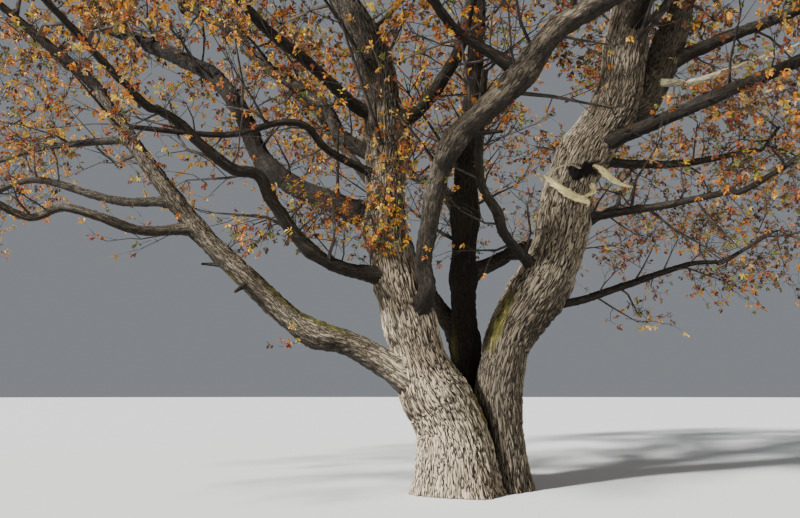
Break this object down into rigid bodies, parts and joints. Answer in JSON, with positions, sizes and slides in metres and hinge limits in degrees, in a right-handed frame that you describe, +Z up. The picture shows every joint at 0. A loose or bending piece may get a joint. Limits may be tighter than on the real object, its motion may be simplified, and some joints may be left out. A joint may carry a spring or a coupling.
{
  "type": "oak tree",
  "caption": "Old spreading oak in late autumn: thick stems parting at the ground, long crooked boughs, torn wood, and an open crown of russet and amber leaves.",
  "frame": {"origin": "centre of the trunk's flat cut at ground level", "axes": "+X to the viewer's right, +Y away from the viewer of the picture, +Z up"},
  "size_m": [22.7012, 16.6271, 16.3114],
  "materials": {
    "bark": "rough ridged bark",
    "dead_wood": "weathered, bare of bark",
    "torn_wood": "splintered, raw",
    "leaves": "dull, thin, autumn"
  },
  "bodies": {
    "root": {"trunk": "bark", "left_stem": "bark", "left_leader": "bark", "right_stem": "bark", "right_leader": "bark", "back_stem": "bark", "low_left_bough": "bark", "left_lower_bough": "bark", "left_middle_bough": "bark", "left_upper_bough": "bark", "high_left_bough": "bark", "slim_left_bough": "bark", "back_left_high_bough": "bark", "front_left_high_bough": "bark", "front_left_bough": "bark", "inner_leader_bough": "bark", "front_arm_bough": "bark", "front_arm_branch_bough": "bark", "crossing_limb_bough": "bark", "left_front_high_bough": "bark", "back_left_bough": "bark", "back_low_right_bough": "bark", "back_middle_bough": "bark", "far_right_leader_bough": "bark", "right_low_bough": "bark", "right_middle_bough": "bark", "right_high_bough": "bark", "right_front_bough": "bark", "right_front_high_bough": "bark", "dead_limb_bough": "dead_wood", "far_right_low_bough": "bark", "right_back_high_bough": "bark", "torn_wood_low": "torn_wood", "torn_wood_high": "torn_wood", "low_left_leaves": "leaves", "left_lower_leaves": "leaves", "left_middle_leaves": "leaves", "left_upper_leaves": "leaves", "high_left_leaves": "leaves", "back_left_high_leaves": "leaves", "front_left_high_leaves": "leaves", "front_left_leaves": "leaves", "left_leaves": "leaves", "left_front_high_leaves": "leaves", "inner_leader_leaves": "leaves", "front_arm_leaves": "leaves", "front_arm_branch_leaves": "leaves", "back_leaves": "leaves", "back_left_leaves": "leaves", "right_leaves": "leaves", "far_right_leader_leaves": "leaves", "right_low_leaves": "leaves", "right_middle_leaves": "leaves", "right_high_leaves": "leaves", "back_low_right_leaves": "leaves", "back_middle_leaves": "leaves", "right_front_high_leaves": "leaves", "right_back_high_leaves": "leaves", "far_right_low_leaves": "leaves", "right_front_leaves": "leaves"}
  },
  "joints": []
}
